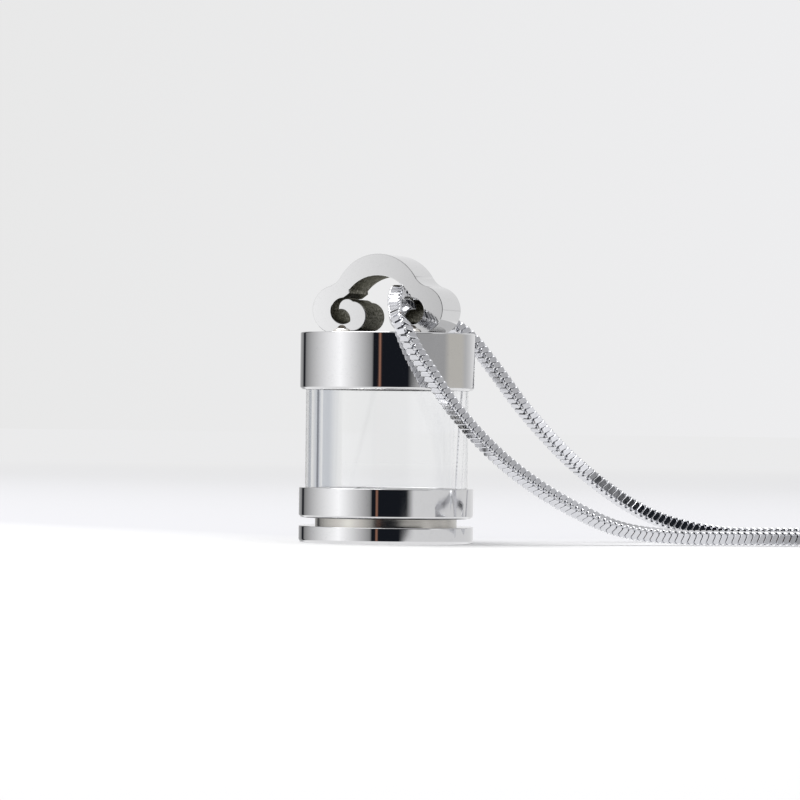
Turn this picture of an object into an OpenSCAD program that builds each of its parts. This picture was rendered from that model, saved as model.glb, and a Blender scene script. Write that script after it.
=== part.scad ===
// Keepsake urn pendant: a glass cylinder between polished steel fittings, with a cloud
// shaped bail on its cap, a screw plug in its foot and a square snake chain.
// Millimetres. The axis is Z, the plug's underside lies on z = 0 and the front is -Y.

/* [Urn] */
// Diameter of the cap, the collar and the plug's disc
metal_d = 16; // [13:0.1:20]
// Height of the cap, without its bail
cap_h = 5.25; // [4.4:0.05:6.5]
// Height of glass that shows between the cap and the collar
glass_show = 8.95; // [5:0.05:14]
// Height of the collar
collar_h = 2.75; // [2.2:0.05:4]
// Steel round the glass in the cap and the collar
rim_wall = 0.45; // [0.3:0.05:0.6]
// Wall of the glass tube
glass_wall = 1.25; // [0.9:0.05:1.6]
// Depth of glass in the cap
cap_seat = 3.45; // [2:0.05:3.6]
// Depth of glass in the collar
collar_seat = 0.85; // [0.5:0.05:1.2]
// Gap round the glass, filled with glue on the real one
glass_fit = 0.1; // [0.05:0.01:0.15]

/* [Screw plug] */
// Height of the plug's disc
plug_h = 1.5; // [1:0.05:2.5]
// Height of neck that shows between the disc and the collar
neck_show = 0.75; // [0.4:0.05:1.2]
// Wall of the collar round the plug's neck
thread_wall = 1.35; // [1:0.05:1.6]
// Gap round the neck, where the thread is on the real one
thread_fit = 0.15; // [0.1:0.01:0.2]

/* [Edges] */
// Edge break on the cap's top
cap_break = 0.12; // [0.05:0.01:0.2]
// Bright chamfer under the cap and the collar
low_chamfer = 0.22; // [0.1:0.01:0.3]
// Edge break on top of the collar and the disc
ring_break = 0.08; // [0.05:0.01:0.15]
// Edge break at the glass's ends
glass_break = 0.1; // [0.05:0.01:0.15]
// Round under the disc
foot_round = 0.32; // [0.1:0.01:0.5]

/* [Bail] */
// Width of the cloud
bail_w = 12.85; // [10.7:0.05:15.5]
// Height of the cloud over the cap
bail_h = 7.2; // [6:0.05:8.7]
// Depth of the cloud, front to back
bail_depth = 4.6; // [3:0.1:6]
// Turn of the bail about the urn's axis, degrees
bail_turn = -22; // [-45:1:45]
// Sideways offset of the bail on the cap
bail_offset = -0.15; // [-0.5:0.05:0.5]
// Outer radius of the middle arch
arch_r = 4.3; // [3.5:0.05:5.2]
// Outer radius of each side lobe
lobe_r = 2.2; // [1.9:0.02:2.5]
// Radius of the hollow between the arch and a lobe
valley_r = 2; // [1:0.1:2.6]
// Thickness of the band at the top of the arch
arch_band = 1.97; // [1.5:0.01:2.3]
// Thickness of the band at the side of a lobe
lobe_band = 1.85; // [1.4:0.01:2.1]
// Radius of the opening under the arch
opening_r = 3.6; // [3:0.05:4.3]
// Radius of the gap inside a curl
gap_r = 1.2; // [1:0.01:1.45]

/* [Chain] */
// Width of the square chain across its flats
chain_w = 1.3; // [1.1:0.05:1.4]
// Diameter of the barrel clasp
clasp_d = 3; // [2.5:0.1:4]
// Length of the barrel clasp
clasp_len = 9; // [7:0.5:12]

/* [Hidden] */
// How far a cut runs past a face
over = 1;

// Radii, from the outside in
metal_r = metal_d / 2;
recess_r = metal_r - rim_wall;
glass_r = recess_r - glass_fit;
thread_bore_r = metal_r - thread_wall;
neck_r = thread_bore_r - thread_fit;

// Levels, from the floor up
collar_z = plug_h + neck_show;
ledge_z = collar_z + collar_h - collar_seat;
glass_z = ledge_z + glass_fit;
cap_z = collar_z + collar_h + glass_show;
recess_top_z = cap_z + cap_seat + glass_fit;
top_z = cap_z + cap_h;
neck_top_z = ledge_z - thread_fit;

// Cloud outline: x across the face, y above the cap
solder_sink = 0.1;
arch_c = [0, bail_h - arch_r];
lobe_c = [bail_w / 2 - lobe_r, lobe_r - solder_sink];
gap_c = [bail_w / 2 - lobe_band - gap_r, lobe_c[1] - 0.12];
opening_c = [0, bail_h - arch_band - opening_r];
opening_side = gap_c[0] - 0.6;
opening_rise = sqrt(max(0, opening_r * opening_r - opening_side * opening_side));
corner_drop = 0.32;
corner_y = max(gap_c[1] + corner_drop, opening_c[1] + opening_rise - corner_drop);
corner_lap = 0.7;
valley_lap = 0.01;
foot_pad = [1.95, 0.3];
foot_pad_x = lobe_c[0] - 0.75;

// The curl's head, its tip and the notch under the tip: centres and radii
head_c = gap_c + gap_r * [-0.76, -0.4];
head_r = 1.125 * gap_r;
tip_c = gap_c + gap_r * [-0.34, 0.225];
tip_r = 0.685 * gap_r;
notch_c = gap_c + gap_r * [0.18, -0.65];
notch_r = 0.775 * gap_r;

// The chain's ends sit in the barrel clasp's two end bores
chain_sides = 8;
chain_corner_r = chain_w / 2 / cos(180 / chain_sides);
clasp_fit = 0.15;
clasp_bore_depth = 2.5;

// Route of the chain's middle line from one end of the clasp to the other, over the
// bail: x, y, z and the number of rings up to the next point
chain_route = [
    [177, 6.3, 1.5, 1], [177, -3, 1.2, 2], [171, -27, 0.72, 3], [147, -49, 0.72, 4],
    [112, -50, 0.72, 4], [84, -28, 0.72, 4], [60, -6, 0.72, 3], [38, 1.8, 0.72, 1],
    [28, 0.6, 0.72, 2], [21, -1.2, 1.6, 1], [17.4, -2.3, 3.15, 2], [10.3, -4.9, 7.85, 1],
    [7.5, -6.3, 10.6, 1], [5.5, -7.5, 13, 1], [3.8, -8.4, 15.5, 1], [2.4, -8.85, 17.6, 1],
    [1.5, -8.85, 19.3, 2], [1.05, -8.2, 20.1, 1], [0.8, -6.6, 20.75, 1], [0.65, -5, 21.55, 2],
    [0.65, -4, 22.25, 2], [0.85, -2.9, 22.85, 1], [1.1, -1.7, 22.95, 2], [2, 1.8, 22.75, 3],
    [4.5, 4.9, 20.8, 1], [6.4, 5.9, 19.85, 1], [7.7, 6.2, 18.8, 1], [9.2, 6.6, 17.05, 2],
    [12.9, 7.8, 12.25, 2], [18.8, 10.4, 6.4, 2], [26.2, 13.6, 2, 1], [31.5, 15, 0.85, 1],
    [38, 16, 0.72, 3], [60, 24, 0.72, 4], [84, 46, 0.72, 4], [112, 68, 0.72, 4],
    [147, 67, 0.72, 3], [171, 45, 0.72, 3], [177, 21, 1.2, 1], [177, 11.7, 1.5, 0]
];
chain_floor = 0.72;

// Ring shaped section turned about Z: outer radius, inner radius, two levels and edge cuts
module turned_ring(outer_r, inner_r, low_z, high_z, low_cut, high_cut) {
    rotate_extrude($fn = 96)
        polygon([
            [inner_r, low_z],
            [outer_r - low_cut, low_z],
            [outer_r, low_z + low_cut],
            [outer_r, high_z - high_cut],
            [outer_r - high_cut, high_z],
            [inner_r, high_z]
        ]);
}

// Fills the corner between the arch's circle and the right lobe's circle with a hollow
// curve, which cuts both circles a little and doesn't only touch them
module valley_fill() {
    reach_arch = arch_r + valley_r;
    reach_lobe = lobe_r + valley_r;
    span = lobe_c - arch_c;
    gap = norm(span);
    along = span / gap;
    up = [-along[1], along[0]];
    run = (reach_arch * reach_arch - reach_lobe * reach_lobe + gap * gap) / (2 * gap);
    rise = sqrt(reach_arch * reach_arch - run * run);
    centre = arch_c + along * run + up * rise;
    difference() {
        polygon([arch_c, lobe_c, centre]);
        translate(centre) circle(valley_r + valley_lap, $fn = 64);
    }
}

// Right half of the space inside the cloud, before the curl's head is put back
module half_void() {
    intersection() {
        translate(opening_c) circle(opening_r, $fn = 96);
        translate([-over, 0]) square([opening_side + over, bail_h]);
    }
    translate(gap_c) circle(gap_r, $fn = 64);
    polygon([
        gap_c,
        [opening_side - corner_lap, gap_c[1]],
        [opening_side - corner_lap, corner_y],
        [opening_side, corner_y],
        [gap_c[0], gap_c[1] + gap_r]
    ]);
}

// Head that ends the right curl: a disc with a tip, hollowed under the tip
module curl_head() {
    difference() {
        union() {
            translate(head_c) circle(head_r, $fn = 64);
            translate(tip_c) circle(tip_r, $fn = 64);
        }
        translate(notch_c) circle(notch_r, $fn = 64);
    }
}

// Right half of the cloud: the band, cut out, with the curl's head put back
module half_cloud() {
    difference() {
        union() {
            difference() {
                union() {
                    intersection() {
                        translate(arch_c) circle(arch_r, $fn = 128);
                        translate([0, -solder_sink]) square([bail_w, bail_h + over]);
                    }
                    translate(lobe_c) circle(lobe_r, $fn = 96);
                    valley_fill();
                }
                half_void();
            }
            curl_head();
        }
        translate([-bail_w, -bail_h - solder_sink]) square([2 * bail_w, bail_h]);
        translate([-bail_w, -over]) square([bail_w + opening_side, over]);
    }
    translate([foot_pad_x - foot_pad[0] / 2, -solder_sink])
        square([foot_pad[0], foot_pad[1] + solder_sink]);
}

module cloud_outline() {
    half_cloud();
    mirror([1, 0]) half_cloud();
}

// Steel cup over the glass with the cloud bail soldered on its top
module bail_cap() {
    color("silver") union() {
        difference() {
            turned_ring(metal_r, 0, cap_z, top_z, low_chamfer, cap_break);
            translate([0, 0, cap_z - over])
                cylinder(r = recess_r, h = recess_top_z - cap_z + over, $fn = 96);
        }
        translate([bail_offset, 0, top_z])
            rotate([0, 0, bail_turn])
                rotate([90, 0, 0])
                    linear_extrude(height = bail_depth, center = true)
                        cloud_outline();
    }
}

module glass_tube() {
    color("lightcyan", 0.35)
        turned_ring(
            glass_r, glass_r - glass_wall, glass_z, recess_top_z - glass_fit, glass_break, glass_break
        );
}

// Ring under the glass, bored for the plug's neck, with a ledge that the glass stands on
module bottom_collar() {
    color("silver") difference() {
        turned_ring(metal_r, thread_bore_r, collar_z, collar_z + collar_h, low_chamfer, ring_break);
        translate([0, 0, ledge_z])
            cylinder(r = recess_r, h = collar_seat + over, $fn = 96);
    }
}

// Disc that the urn stands on, with the neck that screws into the collar
module screw_plug() {
    color("silver") union() {
        difference() {
            turned_ring(metal_r, 0, 0, plug_h, 0, ring_break);
            rotate_extrude($fn = 96)
                difference() {
                    translate([metal_r - foot_round, -over])
                        square([foot_round + over, foot_round + over]);
                    translate([metal_r - foot_round, foot_round]) circle(foot_round, $fn = 48);
                }
        }
        translate([0, 0, plug_h / 2])
            cylinder(r = neck_r, h = neck_top_z - plug_h / 2, $fn = 96);
    }
}

// Smooth line through the route's points: slopes at the points, weighted by the distances
function place(i) = [chain_route[i][0], chain_route[i][1], chain_route[i][2]];
last_point = len(chain_route) - 1;
function step_to_next(i) = norm(place(i + 1) - place(i));
function pace(i) = (place(i + 1) - place(i)) / step_to_next(i);
function slope(i) =
    i == 0 ? pace(0)
    : i == last_point ? pace(last_point - 1)
    : (pace(i) * step_to_next(i - 1) + pace(i - 1) * step_to_next(i))
        / (step_to_next(i - 1) + step_to_next(i));
function between(i, t) =
    let (d = step_to_next(i), tt = t * t, ttt = tt * t)
    place(i) * (2 * ttt - 3 * tt + 1) + slope(i) * d * (ttt - 2 * tt + t)
        + place(i + 1) * (3 * tt - 2 * ttt) + slope(i + 1) * d * (ttt - tt);
function off_floor(p) = [p[0], p[1], max(p[2], chain_floor)];
ring_centres = [
    for (i = [0 : last_point - 1])
        for (k = [0 : chain_route[i][3] - 1]) off_floor(between(i, k / chain_route[i][3])),
    place(last_point)
];
last_ring = len(ring_centres) - 1;

// A ring's axes are carried along from ring to ring, so that the tube doesn't twist
function unit(v) = v / norm(v);
function heading(i) = unit(ring_centres[min(i + 1, last_ring)] - ring_centres[max(i - 1, 0)]);
function square_to(v, axis) = unit(v - axis * (v * axis));
function uprights(i, last_up) =
    let (up = square_to(last_up, heading(i)))
    i == last_ring ? [up] : concat([up], uprights(i + 1, up));
ring_ups = uprights(0, [0, 0, 1]);

// Tube with flat ends along the whole route
module snake_chain() {
    corners = [
        for (i = [0 : last_ring])
            let (up = ring_ups[i], side = cross(up, heading(i)))
            for (k = [0 : chain_sides - 1])
                let (a = (k + 0.5) * 360 / chain_sides)
                ring_centres[i] + chain_corner_r * (cos(a) * up + sin(a) * side)
    ];
    walls = [
        for (i = [0 : last_ring - 1])
            for (k = [0 : chain_sides - 1])
                let (a = i * chain_sides, b = a + chain_sides, m = (k + 1) % chain_sides)
                for (face = [[a + k, b + k, b + m], [a + k, b + m, a + m]]) face
    ];
    first_end = [for (k = [0 : chain_sides - 1]) k];
    other_end = [for (k = [chain_sides - 1 : -1 : 0]) last_ring * chain_sides + k];
    color("gainsboro") polyhedron(points = corners, faces = concat(walls, [first_end, other_end]));
}

// Plain barrel on the floor that joins the chain's two ends
module barrel_clasp() {
    middle = (place(0) + place(last_point)) / 2;
    bore_r = chain_corner_r + clasp_fit;
    color("silver") translate(middle) rotate([90, 0, 0]) difference() {
        cylinder(d = clasp_d, h = clasp_len, center = true, $fn = 64);
        for (way = [-1, 1])
            translate([0, 0, way * clasp_len / 2])
                cylinder(r = bore_r, h = 2 * clasp_bore_depth, center = true, $fn = 48);
    }
}

bail_cap();
glass_tube();
bottom_collar();
screw_plug();
snake_chain();
barrel_clasp();
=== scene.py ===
"""Keepsake urn pendant: glass cylinder in polished steel, cloud bail and square snake chain.

Every length is in metres. The urn's axis is Z, its plug stands on the table and its front is -Y.
"""

import logging
import math
from dataclasses import dataclass, field
from enum import Enum
from typing import Iterable, Sequence

import bmesh
import bpy
from mathutils import Matrix, Quaternion, Vector


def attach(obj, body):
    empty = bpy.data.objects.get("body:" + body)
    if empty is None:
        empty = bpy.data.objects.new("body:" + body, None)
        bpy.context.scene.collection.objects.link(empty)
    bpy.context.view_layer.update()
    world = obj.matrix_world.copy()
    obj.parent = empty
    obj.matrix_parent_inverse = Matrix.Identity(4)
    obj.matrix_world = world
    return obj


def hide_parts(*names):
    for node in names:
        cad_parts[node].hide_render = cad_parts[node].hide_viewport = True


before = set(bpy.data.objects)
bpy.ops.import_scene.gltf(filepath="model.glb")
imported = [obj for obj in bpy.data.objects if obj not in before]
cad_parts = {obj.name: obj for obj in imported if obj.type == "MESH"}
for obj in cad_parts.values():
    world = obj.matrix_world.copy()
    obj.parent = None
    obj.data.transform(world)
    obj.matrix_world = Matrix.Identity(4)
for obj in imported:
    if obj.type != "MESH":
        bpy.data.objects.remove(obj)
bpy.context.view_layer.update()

log = logging.getLogger("urn_pendant")

Colour = tuple[float, float, float]
Ring = tuple[tuple[float, float | Colour], ...]
Socket = bpy.types.NodeSocket

MM = 0.001
UP = Vector((0.0, 0.0, 1.0))

# Places closer than this are the same place
TOUCH = 0.001 * MM

# Tones of the studio's flags, warm slit and cream card
BLACK = (0.011, 0.013, 0.018)
WARM = (0.5, 0.25, 0.17)
CREAM = (0.65, 0.63, 0.59)


class Marks(Enum):
    """Which fine marks a steel surface carries."""

    HAIRLINES = 0
    GRAIN = 1
    TURNING = 2


class Wall(Enum):
    """Which finish a wall of the cloud bail takes."""

    POLISHED = 0
    SAWN = 1


# Shader node groups that several finishes share


class NodeKit:
    """Adds nodes and links to one node tree."""

    def __init__(self, tree: bpy.types.NodeTree) -> None:
        """Keeps the node tree of a material, a group or the world."""
        self.tree = tree

    def add(self, kind: str, **values: object) -> bpy.types.Node:
        """Adds one node and sets its properties and inputs.

        Args:
            kind: the node's type name.
            values: properties by name, or inputs by name with an in_ prefix.

        Returns:
            The new node.
        """
        node = self.tree.nodes.new(kind)
        for name, value in values.items():
            if name.startswith("in_"):
                node.inputs[name[3:].replace("_", " ")].default_value = value
            else:
                setattr(node, name, value)
        return node

    def link(self, source: Socket, target: Socket) -> None:
        """Joins an output to an input."""
        self.tree.links.new(source, target)

    def coords(self, kind: str = "Object") -> Socket:
        """Gives the Object coordinates, or those of another kind."""
        return self.add("ShaderNodeTexCoord").outputs[kind]

    def split(self, vector: Socket) -> tuple[Socket, ...]:
        """Splits a vector.

        Args:
            vector: the vector.

        Returns:
            Its X, Y and Z.
        """
        part = self.add("ShaderNodeSeparateXYZ")
        self.link(vector, part.inputs["Vector"])
        return tuple(part.outputs)

    def maths(self, operation: str, first: object, second: object = None) -> Socket:
        """Adds a Math node.

        Args:
            operation: the operation's name.
            first: a socket or a number.
            second: a socket or a number, or nothing.

        Returns:
            The node's output.
        """
        node = self.add("ShaderNodeMath", operation=operation)
        for slot, value in zip(node.inputs, (first, second)):
            if isinstance(value, Socket):
                self.link(value, slot)
            elif value is not None:
                slot.default_value = value
        return node.outputs[0]

    def azimuth(self, x: Socket, y: Socket) -> Socket:
        """Gives the angle round Z, 0 at the front and growing to the right."""
        return self.maths("ARCTAN2", x, self.maths("MULTIPLY", y, -1.0))

    def noise(self, vector: Socket, scale: Socket, detail: float, roughness: float) -> Socket:
        """Adds a noise texture.

        Args:
            vector: its coordinates.
            scale: its scale.
            detail: the number of its finer layers.
            roughness: how strong the finer layers are.

        Returns:
            The noise, from 0 to 1.
        """
        node = self.add("ShaderNodeTexNoise", in_Detail=detail, in_Roughness=roughness)
        self.link(vector, node.inputs["Vector"])
        self.link(scale, node.inputs["Scale"])
        return node.outputs["Fac"]

    def ramp(self, factor: Socket, stops: Sequence[tuple[float, Colour]]) -> Socket:
        """Adds a colour ramp.

        Args:
            factor: the socket that drives it.
            stops: places from 0 to 1 with their colours, in order.

        Returns:
            The colour output.
        """
        node = self.add("ShaderNodeValToRGB")
        elements = node.color_ramp.elements
        while len(elements) > 1:
            elements.remove(elements[-1])
        elements[0].position = stops[0][0]
        elements[0].color = (*stops[0][1], 1.0)
        for place, colour in stops[1:]:
            elements.new(place).color = (*colour, 1.0)
        self.link(factor, node.inputs[0])
        return node.outputs[0]

    def fade(self, value: Socket, low: float, high: float, smooth: bool = True) -> Socket:
        """Adds a step from 0 to 1.

        Args:
            value: the socket that drives it.
            low: where it is still 0.
            high: where it has reached 1.
            smooth: whether it eases in and out.

        Returns:
            The step.
        """
        kind = "SMOOTHSTEP" if smooth else "LINEAR"
        step = self.add(
            "ShaderNodeMapRange", interpolation_type=kind, in_From_Min=low, in_From_Max=high
        )
        self.link(value, step.inputs["Value"])
        return step.outputs["Result"]

    def blend(self, factor: Socket, first: object, second: object) -> Socket:
        """Mixes two colours.

        Args:
            factor: 0 gives the first, 1 the second.
            first: a socket or a colour.
            second: a socket or a colour.

        Returns:
            The mixed colour.
        """
        node = self.add("ShaderNodeMix", data_type="RGBA")
        self.link(factor, node.inputs["Factor"])
        for key, value in (("A", first), ("B", second)):
            if isinstance(value, Socket):
                self.link(value, node.inputs[key])
            else:
                node.inputs[key].default_value = (*value, 1.0)
        return node.outputs["Result"]

    def surface(self, out: str, factor: Socket, first: Socket, second: Socket) -> None:
        """Mixes two shaders into the tree's surface.

        Args:
            out: the name of the tree's output node.
            factor: 0 gives the first, 1 the second.
            first: one shader's output.
            second: the other shader's output.
        """
        mix = self.add("ShaderNodeMixShader")
        for source, slot in zip((factor, first, second), mix.inputs):
            self.link(source, slot)
        self.link(mix.outputs["Shader"], self.tree.nodes[out].inputs["Surface"])


def new_material(
    name: str, **values: float | tuple[float, ...]
) -> tuple[bpy.types.Material, NodeKit, bpy.types.Node]:
    """Starts a material.

    Args:
        name: its name.
        values: what its shader's inputs are set to, by name.

    Returns:
        The material, its node kit and its shader.
    """
    made = bpy.data.materials.new(name)
    made.use_nodes = True
    shader = made.node_tree.nodes["Principled BSDF"]
    for label, value in values.items():
        shader.inputs[label.replace("_", " ")].default_value = value
    return made, NodeKit(made.node_tree), shader


class Effects:
    """The shader node groups, each built once."""

    def __init__(self) -> None:
        """Builds the groups."""
        self.handling = self._handling()
        self.marks = {
            Marks.HAIRLINES: self._hairlines(),
            Marks.GRAIN: self._grain(),
            Marks.TURNING: self._turning(),
        }

    @staticmethod
    def _group(
        name: str, inputs: dict[str, float], outputs: Sequence[str]
    ) -> tuple[NodeKit, dict[str, Socket], dict[str, Socket]]:
        """Makes an empty group with its number sockets.

        Args:
            name: the group's name.
            inputs: its inputs with their defaults.
            outputs: its outputs.

        Returns:
            The group's node kit, its inputs and its outputs.
        """
        tree = bpy.data.node_groups.new(name, "ShaderNodeTree")
        for label, value in inputs.items():
            socket = tree.interface.new_socket(label, in_out="INPUT", socket_type="NodeSocketFloat")
            socket.default_value = value
        for label in outputs:
            tree.interface.new_socket(label, in_out="OUTPUT", socket_type="NodeSocketFloat")
        kit = NodeKit(tree)
        given = dict(kit.add("NodeGroupInput").outputs.items())
        return kit, given, dict(kit.add("NodeGroupOutput").inputs.items())

    def _handling(self) -> bpy.types.NodeTree:
        """Soft cloudy marks that handling leaves on a polished surface.

        Returns:
            The group: a Mask from 0 to 1 and a Roughness between Low and High.
        """
        kit, given, out = self._group(
            "handling_marks", {"Scale": 180.0, "Low": 0.03, "High": 0.08}, ("Mask", "Roughness")
        )
        clouds = kit.noise(kit.coords(), given["Scale"], 4.0, 0.55)
        mask = kit.fade(clouds, 0.35, 0.68, smooth=False)
        rough = kit.add("ShaderNodeMapRange")
        kit.link(mask, rough.inputs["Value"])
        kit.link(given["Low"], rough.inputs["To Min"])
        kit.link(given["High"], rough.inputs["To Max"])
        kit.link(mask, out["Mask"])
        kit.link(rough.outputs["Result"], out["Roughness"])
        return kit.tree

    def _hairlines(self) -> bpy.types.NodeTree:
        """Fine crossing hairline scratches.

        Returns:
            The group: a Mask that is 1 on a scratch, and a Height.
        """
        kit, given, out = self._group(
            "hairline_scratches", {"Scale": 900.0, "Share": 0.1}, ("Mask", "Height")
        )
        where = kit.coords()
        layers = []
        for turn, stretch in ((0.5, 0.05), (2.1, 0.08)):
            angles = (turn, turn * 0.7, turn * 1.3)
            lay = kit.add("ShaderNodeMapping", in_Rotation=angles, in_Scale=(1.0, stretch, 1.0))
            kit.link(where, lay.inputs["Vector"])
            noise = kit.noise(lay.outputs["Vector"], given["Scale"], 2.0, 0.5)
            layers.append(kit.maths("ABSOLUTE", kit.maths("SUBTRACT", noise, 0.5)))
        line = kit.add("ShaderNodeMapRange", in_To_Min=1.0, in_To_Max=0.0)
        kit.link(kit.maths("MINIMUM", *layers), line.inputs["Value"])
        kit.link(kit.maths("MULTIPLY", given["Share"], 0.1), line.inputs["From Max"])
        kit.link(line.outputs["Result"], out["Mask"])
        kit.link(kit.maths("MULTIPLY", line.outputs["Result"], -1.0), out["Height"])
        return kit.tree

    def _grain(self) -> bpy.types.NodeTree:
        """Pitted grain of a sawn and tumbled wall.

        Returns:
            The group: a Mask from 0 to 1 and a Height.
        """
        kit, given, out = self._group("sawn_grain", {"Scale": 3500.0}, ("Mask", "Height"))
        where = kit.coords()
        coarse = kit.noise(where, given["Scale"], 5.0, 0.7)
        pits = kit.add("ShaderNodeTexVoronoi", in_Randomness=1.0)
        kit.link(where, pits.inputs["Vector"])
        kit.link(kit.maths("MULTIPLY", given["Scale"], 1.6), pits.inputs["Scale"])
        both = kit.maths("MULTIPLY", coarse, pits.outputs["Distance"])
        kit.link(kit.fade(both, 0.08, 0.42, smooth=False), out["Mask"])
        kit.link(coarse, out["Height"])
        return kit.tree

    def _turning(self) -> bpy.types.NodeTree:
        """Fine tool marks that run round the Z axis.

        Returns:
            The group: a Height.
        """
        kit, given, out = self._group("turning_marks", {"Scale": 9000.0}, ("Height",))
        x, y, z = kit.split(kit.coords())
        squares = [kit.maths("MULTIPLY", side, side) for side in (x, y)]
        place = kit.add("ShaderNodeCombineXYZ")
        kit.link(kit.maths("SQRT", kit.maths("ADD", *squares)), place.inputs["X"])
        kit.link(z, place.inputs["Z"])
        kit.link(kit.noise(place.outputs["Vector"], given["Scale"], 3.0, 0.6), out["Height"])
        return kit.tree


# Finishes


@dataclass(frozen=True)
class SteelFinish:
    """A steel surface: its colours, its gloss and its marks."""

    name: str
    colour: Colour
    worn: Colour
    low_rough: float
    high_rough: float
    marks: Marks = Marks.HAIRLINES
    mark_scale: float = 900.0
    mark_height: float = 0.00000002
    cloud_scale: float = 180.0
    edge_tint: Colour = (1.0, 1.0, 1.0)
    crown_r: float = 0.0
    crown_turn: float = 0.0

    def material(self, effects: Effects) -> bpy.types.Material:
        """Builds the material.

        Args:
            effects: the shared shader node groups.

        Returns:
            The new material.
        """
        made, kit, shader = new_material(
            self.name, Metallic=1.0, Specular_Tint=(*self.edge_tint, 1.0)
        )
        clouds = kit.add(
            "ShaderNodeGroup", node_tree=effects.handling, in_Scale=self.cloud_scale,
            in_Low=self.low_rough, in_High=self.high_rough,
        )
        kit.link(clouds.outputs["Roughness"], shader.inputs["Roughness"])
        marks = kit.add(
            "ShaderNodeGroup", node_tree=effects.marks[self.marks], in_Scale=self.mark_scale
        )
        mask = (marks if "Mask" in marks.outputs else clouds).outputs["Mask"]
        kit.link(kit.blend(mask, self.colour, self.worn), shader.inputs["Base Color"])
        height = kit.maths("MULTIPLY", marks.outputs["Height"], self.mark_height)
        if self.crown_r:
            height = kit.maths("ADD", height, self._crown(kit))
        bump = kit.add("ShaderNodeBump", in_Strength=1.0, in_Distance=1.0)
        kit.link(height, bump.inputs["Height"])
        kit.link(bump.outputs["Normal"], shader.inputs["Normal"])
        return made

    def _crown(self, kit: NodeKit) -> Socket:
        """Makes the height of a face that polishing has left slightly convex.

        Args:
            kit: the material's nodes.

        Returns:
            The height, in metres.
        """
        angle = math.radians(self.crown_turn)
        along = kit.add("ShaderNodeVectorMath", operation="DOT_PRODUCT")
        along.inputs[1].default_value = (math.cos(angle), math.sin(angle), 0.0)
        kit.link(kit.coords(), along.inputs[0])
        square = kit.maths("MULTIPLY", along.outputs["Value"], along.outputs["Value"])
        return kit.maths("DIVIDE", square, -2.0 * self.crown_r)


@dataclass(frozen=True)
class GlassFinish:
    """Clear tube glass with the faintest cloudy tint."""

    name: str = "clear_tube_glass"
    clear: Colour = (0.99, 0.992, 0.992)
    tinted: Colour = (0.982, 0.986, 0.986)
    index: float = 1.47
    cloud_scale: float = 90.0

    def material(self, effects: Effects) -> bpy.types.Material:
        """Builds the material.

        Args:
            effects: the shared shader node groups.

        Returns:
            The new material.
        """
        made, kit, shader = new_material(
            self.name, Transmission_Weight=1.0, Metallic=0.0, IOR=self.index, Roughness=0.0
        )
        clouds = kit.add(
            "ShaderNodeGroup", node_tree=effects.handling, in_Scale=self.cloud_scale
        )
        tint = kit.blend(clouds.outputs["Mask"], self.clear, self.tinted)
        kit.link(tint, shader.inputs["Base Color"])
        return made


class Finishes:
    """Every finish of the pendant, built once."""

    def __init__(self, effects: Effects) -> None:
        """Builds the materials.

        Args:
            effects: the shared shader node groups.
        """
        self.mirror = SteelFinish(
            "mirror_steel", (0.655, 0.655, 0.66), (0.63, 0.63, 0.635), 0.02, 0.04
        ).material(effects)
        self.bail = SteelFinish(
            "polished_bail", (0.70, 0.70, 0.70), (0.67, 0.67, 0.67), 0.05, 0.10, mark_scale=1400.0,
            crown_r=0.085, crown_turn=-22.0,
        ).material(effects)
        self.sawn = SteelFinish(
            "sawn_bail_wall", (0.045, 0.045, 0.038), (0.42, 0.41, 0.365), 0.35, 0.60,
            marks=Marks.GRAIN, mark_scale=3500.0, mark_height=0.00006, edge_tint=(0.30, 0.30, 0.27),
        ).material(effects)
        self.solder = SteelFinish(
            "solder", (0.90, 0.89, 0.87), (0.72, 0.68, 0.62), 0.2, 0.4, marks=Marks.GRAIN,
            mark_scale=1500.0, mark_height=0.00002,
        ).material(effects)
        # Painted shade: the dark brown drops over the solder stand for the shadow in the gap under
        # each lobe of the bail
        self.painted_shade = SteelFinish(
            "painted_shade_under_lobe", (0.06, 0.055, 0.05), (0.16, 0.14, 0.12), 0.35, 0.55, marks=Marks.GRAIN,
            mark_height=0.00002, edge_tint=(0.3, 0.3, 0.3),
        ).material(effects)
        self.turned = SteelFinish(
            "turned_neck", (0.58, 0.565, 0.53), (0.50, 0.485, 0.45), 0.16, 0.26,
            marks=Marks.TURNING, mark_height=0.000012,
        ).material(effects)
        self.chain = SteelFinish(
            "chain_steel", (0.64, 0.645, 0.67), (0.56, 0.565, 0.59), 0.07, 0.15, mark_scale=2500.0,
            cloud_scale=900.0,
        ).material(effects)
        # Painted highlight: the beads are the same steel as the plates, given a paler colour so that
        # the corner rows shine brighter
        self.bead = SteelFinish(
            "chain_bead_painted_highlight", (0.87, 0.875, 0.89), (0.80, 0.805, 0.82), 0.05, 0.12, mark_scale=2500.0
        ).material(effects)
        # Painted shade: the core stands for the chain's filled inside, and its near-black colour
        # paints the shade in the gaps between the plates
        self.gap = SteelFinish(
            "chain_core_painted_shade", (0.10, 0.10, 0.11), (0.20, 0.20, 0.21), 0.35, 0.55, marks=Marks.GRAIN,
            mark_height=0.00002,
        ).material(effects)
        self.clasp = SteelFinish(
            "clasp_steel", (0.68, 0.69, 0.71), (0.60, 0.61, 0.63), 0.04, 0.10, mark_scale=1200.0
        ).material(effects)
        self.glass = GlassFinish().material(effects)


# Shared mesh work


def add_object(name: str, data: bpy.types.ID) -> bpy.types.Object:
    """Puts a new object into the scene.

    Args:
        name: its name.
        data: its mesh, curve, lamp or camera.

    Returns:
        The object.
    """
    made = bpy.data.objects.new(name, data)
    bpy.context.scene.collection.objects.link(made)
    return made


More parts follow.
